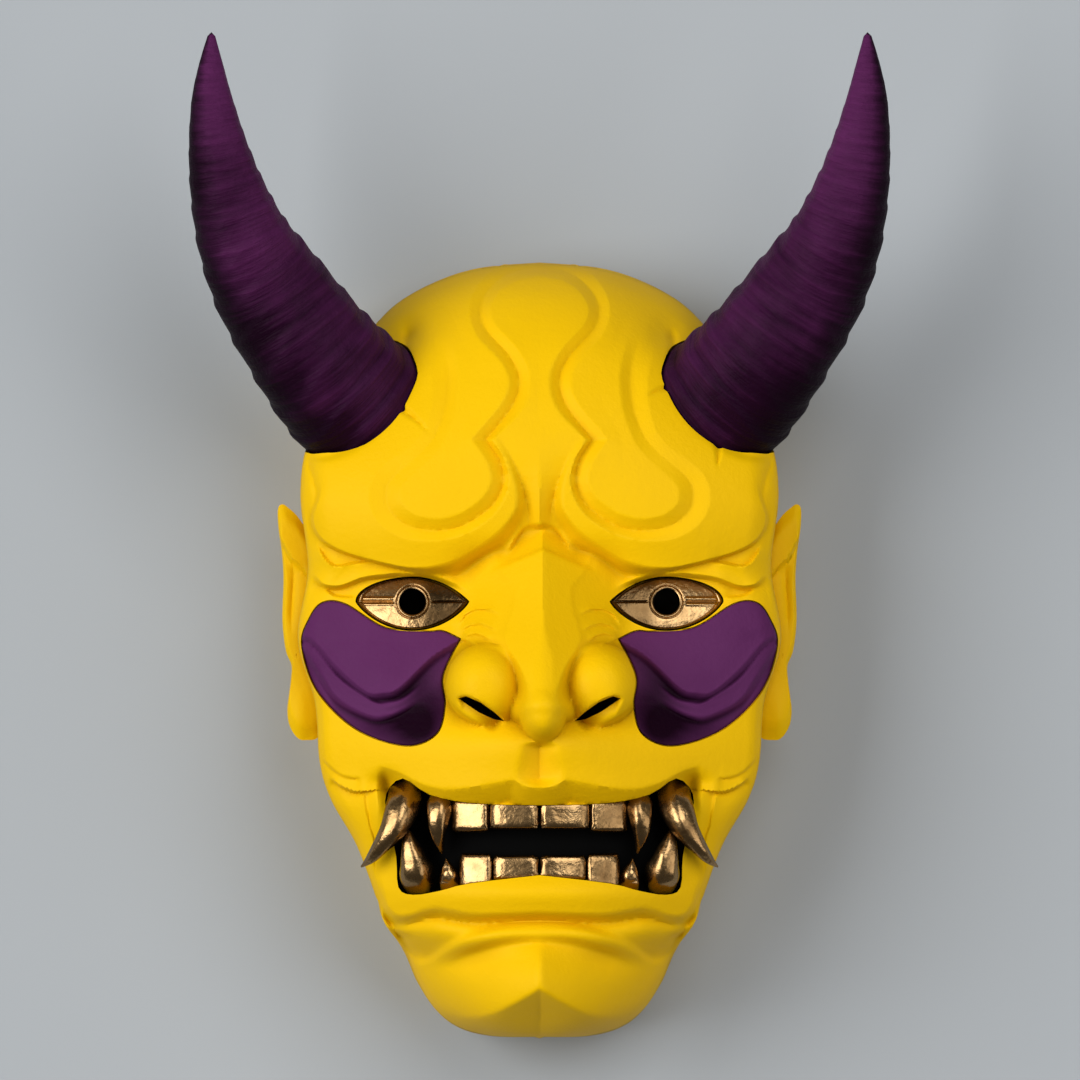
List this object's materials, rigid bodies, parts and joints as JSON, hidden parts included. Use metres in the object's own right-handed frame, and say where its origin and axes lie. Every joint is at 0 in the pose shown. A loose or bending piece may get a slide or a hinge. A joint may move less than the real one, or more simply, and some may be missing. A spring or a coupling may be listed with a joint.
{
  "type": "horned demon mask",
  "caption": "Horned demon mask with a furrowed brow, fangs and tusks, hollow behind, lying on its back rim.",
  "frame": {"origin": "bottom centre of the bounding box, in the plane of the back rim", "axes": "+X to the right of the face as seen from the front, +Y towards the horn tips, +Z out of the face"},
  "size_m": [0.21, 0.3018, 0.1057],
  "materials": {
    "yellow_paint": "satin yellow paint over carved relief, worn brown in the grooves",
    "purple_paint": "satin dark purple paint, lighter on the raised edges",
    "aged_brass": "aged hammered brass, dark in the hollows and bright on the edges",
    "black_backing": "flat black"
  },
  "bodies": {
    "root": {"face": "yellow_paint", "mouth_backing": "black_backing", "upper_teeth": "aged_brass", "lower_teeth": "aged_brass", "horn_left": "purple_paint", "cheek_plate_left": "purple_paint", "eye_left": "aged_brass", "tusk_left": "aged_brass", "upper_fang_left": "aged_brass", "lower_fang_left": "aged_brass", "lower_side_tooth_left": "aged_brass", "horn_right": "purple_paint", "cheek_plate_right": "purple_paint", "eye_right": "aged_brass", "tusk_right": "aged_brass", "upper_fang_right": "aged_brass", "lower_fang_right": "aged_brass", "lower_side_tooth_right": "aged_brass"}
  },
  "joints": []
}
